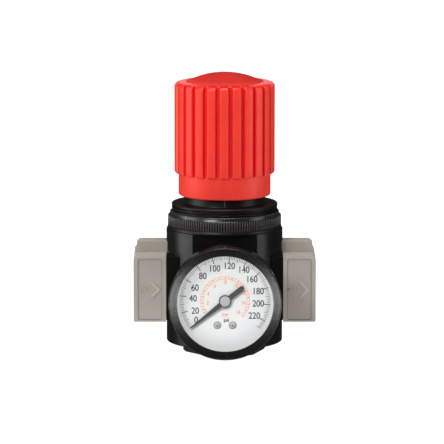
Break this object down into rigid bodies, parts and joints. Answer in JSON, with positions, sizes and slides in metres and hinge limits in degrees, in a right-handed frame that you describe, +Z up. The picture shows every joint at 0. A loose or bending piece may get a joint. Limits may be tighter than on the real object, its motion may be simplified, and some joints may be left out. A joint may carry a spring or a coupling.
{
  "type": "air pressure regulator",
  "caption": "Compressed-air pressure regulator with a ribbed push-to-lock setting knob, a round dial gauge, a panel nut and screwed-on port plates.",
  "frame": {"origin": "centre of the flat face under the hexagonal bottom plug, on the axis of the knob", "axes": "+Z up along the knob's axis, -Y towards the gauge's face, -X towards the inlet and +X towards the outlet"},
  "size_m": [0.0856, 0.0874, 0.1328],
  "materials": {
    "red_knob": "satin moulded plastic",
    "dark_red_cap": "satin moulded plastic",
    "black_body": "glossy black paint over a die casting",
    "black_plastic": "moulded glass-filled nylon",
    "zinc_plate": "warm grey die casting, fine blasted",
    "steel": "zinc-plated",
    "brass": "turned",
    "rubber": "matt",
    "dial_white": "satin white print",
    "pointer_dark": "matt dark grey",
    "lens_clear": "clear"
  },
  "bodies": {
    "root": {"body": "black_body", "stem_guide": "brass", "stem_seal": "rubber", "valve_seat": "brass", "bottom_plug": "black_plastic", "plug_seal": "rubber", "valve_spring": "steel", "diaphragm": "rubber", "bonnet": "black_plastic", "range_spring": "steel", "thrust_washer": "brass", "detent_ring": "steel", "inlet_plate": "zinc_plate", "outlet_plate": "zinc_plate", "inlet_seal": "rubber", "outlet_seal": "rubber", "inlet_screws": "steel", "outlet_screws": "steel", "rear_port_plug": "steel", "rear_port_seal": "rubber", "gauge_seal": "rubber", "gauge_stem": "brass", "restrictor": "brass", "gauge_case": "black_plastic", "lens_gasket": "rubber", "gauge_lens": "lens_clear", "gauge_bezel": "black_plastic", "dial": "dial_white", "dial_screws": "steel", "bourdon_tube": "brass", "tube_end": "brass", "movement_rear_plate": "brass", "movement_front_plate": "brass", "movement_columns": "brass", "hairspring": "steel"},
    "panel_nut": {"panel_nut": "black_plastic"},
    "spindle": {"adjusting_screw": "steel", "retaining_ring": "steel"},
    "knob": {"knob": "red_knob", "knob_cap": "dark_red_cap"},
    "spring_nut": {"spring_nut": "steel"},
    "valve": {"valve_poppet": "brass", "poppet_seal": "rubber", "valve_stem": "steel"},
    "diaphragm_stack": {"lower_diaphragm_plate": "steel", "upper_diaphragm_plate": "steel", "relief_seat": "brass"},
    "sector": {"sector_gear": "brass"},
    "link": {"link": "steel"},
    "pointer": {"pinion_arbor": "steel", "pointer": "pointer_dark", "pointer_hub": "steel"}
  },
  "joints": [
    {"name": "knob_turn", "type": "hinge", "parent": "root", "child": "spindle", "pos_m": [0, 0, 0.1], "axis": [0, 0, 1], "range_deg": [-1800.5, 0.5]},
    {"name": "knob_lock", "type": "slide", "parent": "spindle", "child": "knob", "axis": [0, 0, 1], "range_m": [-0.0028, 0]},
    {"name": "nut_travel", "type": "slide", "parent": "root", "child": "spring_nut", "axis": [0, 0, 1], "range_m": [-0.01, 0], "deforming": ["range_spring"]},
    {"name": "panel_nut_turn", "type": "hinge", "parent": "root", "child": "panel_nut", "pos_m": [0, 0, 0.063], "axis": [0, 0, 1], "continuous": true},
    {"name": "valve_lift", "type": "slide", "parent": "root", "child": "valve", "axis": [0, 0, 1], "range_m": [-0.0015, 0], "stiffness_N_per_m": 1200, "springref_m": 0.004, "deforming": ["valve_spring", "diaphragm"]},
    {"name": "relief_lift", "type": "slide", "parent": "valve", "child": "diaphragm_stack", "axis": [0, 0, 1], "range_m": [0, 0.0005], "stiffness_N_per_m": 3000, "springref_m": -0.001, "deforming": ["range_spring"]},
    {"name": "sector_swing", "type": "hinge", "parent": "root", "child": "sector", "pos_m": [0.00983, -0.0462, 0.02572], "axis": [0, 1, 0], "range_deg": [-28.9, 0], "stiffness_Nm_per_rad": 0.0005, "springref_deg": 5.73},
    {"name": "link_swing", "type": "hinge", "parent": "sector", "child": "link", "pos_m": [0.01208, -0.0471, 0.02961], "axis": [0, 1, 0], "range_deg": [0, 29]},
    {"name": "pointer_turn", "type": "hinge", "parent": "root", "child": "pointer", "pos_m": [0, -0.049, 0.0326], "axis": [0, 1, 0], "range_deg": [-0.5, 260.5], "deforming": ["hairspring"]}
  ],
  "couplings": [
    {"joint": "knob_turn", "follows": "nut_travel", "rad_per_m": 3141.6},
    {"joint": "link_swing", "follows": "sector_swing", "ratio": -1},
    {"joint": "pointer_turn", "follows": "sector_swing", "ratio": -9}
  ]
}
